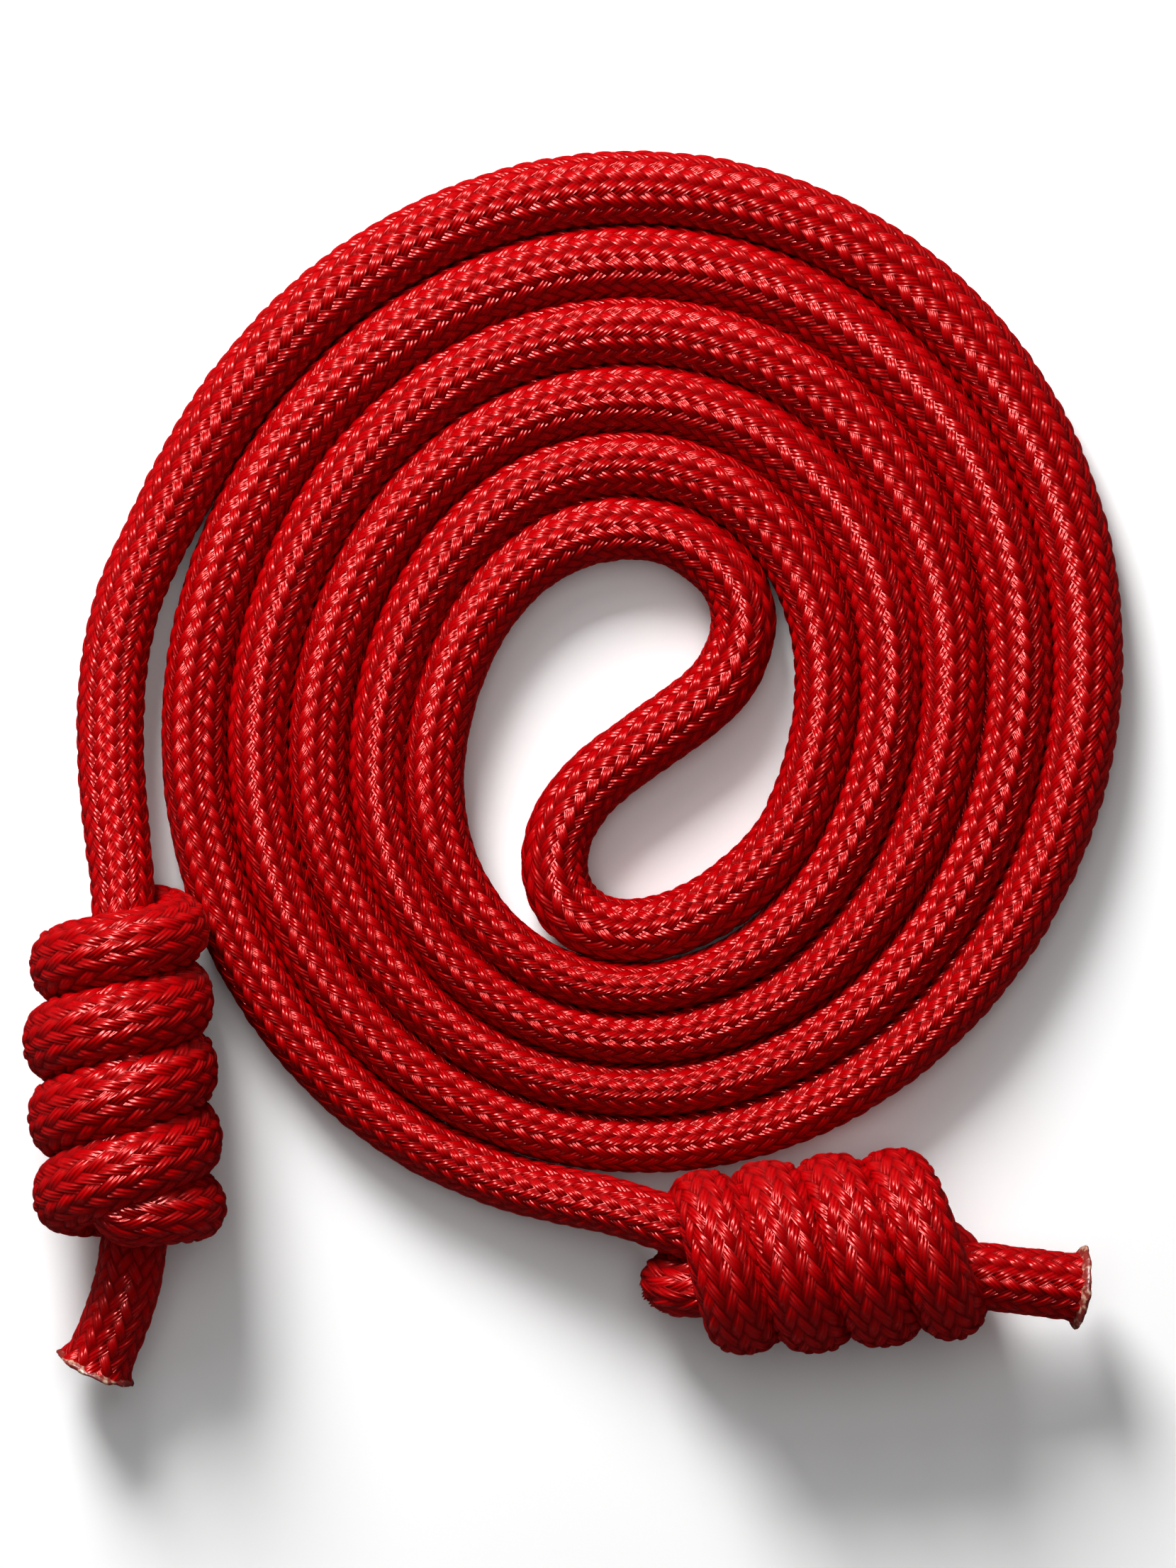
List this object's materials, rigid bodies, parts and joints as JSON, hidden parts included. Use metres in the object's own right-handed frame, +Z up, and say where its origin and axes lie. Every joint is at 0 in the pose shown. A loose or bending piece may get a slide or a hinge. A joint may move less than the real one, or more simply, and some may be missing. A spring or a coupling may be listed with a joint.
{
  "type": "lead rope",
  "caption": "Braided rope wound flat as a double spiral from an S-shaped middle, with a barrel stopper knot and a short melted tail on each end.",
  "frame": {"origin": "on the floor under the middle of the bundle's bounding box", "axes": "+Z up out of the flat coil, +Y from the knots' side towards the free edge of the coil, +X from the left knot towards the right knot"},
  "size_m": [0.2267, 0.2513, 0.039],
  "materials": {
    "braided_cover": "glossy red polyester braid",
    "rope_core": "white polyester core",
    "melted_tip": "melted red polyester with a scorched tan rim"
  },
  "bodies": {
    "coil": {"coil_turns": "braided_cover", "middle_bend_core": "rope_core", "middle_bend_cover": "braided_cover"},
    "left_end": {"left_knot_return_strand": "braided_cover", "left_knot_standing_strand": "braided_cover", "left_knot_wrap_1": "braided_cover", "left_knot_wrap_2": "braided_cover", "left_knot_wrap_3": "braided_cover", "left_knot_wrap_4": "braided_cover", "left_knot_wrap_5": "braided_cover", "left_lead_core": "rope_core", "left_lead_cover": "braided_cover", "left_sealed_tip": "melted_tip", "left_tail_core": "rope_core", "left_tail_cover": "braided_cover"},
    "right_end": {"right_knot_return_strand": "braided_cover", "right_knot_standing_strand": "braided_cover", "right_knot_wrap_1": "braided_cover", "right_knot_wrap_2": "braided_cover", "right_knot_wrap_3": "braided_cover", "right_knot_wrap_4": "braided_cover", "right_knot_wrap_5": "braided_cover", "right_lead_core": "rope_core", "right_lead_cover": "braided_cover", "right_sealed_tip": "melted_tip", "right_tail_core": "rope_core", "right_tail_cover": "braided_cover"}
  },
  "joints": [
    {"name": "left_end_swing", "type": "hinge", "parent": "coil", "child": "left_end", "pos_m": [-0.08333, 0.04555, 0.007], "axis": [0, 0, 1], "range_deg": [-45, 0]},
    {"name": "right_end_swing", "type": "hinge", "parent": "coil", "child": "right_end", "pos_m": [-0.02324, -0.08038, 0.007], "axis": [0, 0, 1], "range_deg": [-40, 0]}
  ]
}
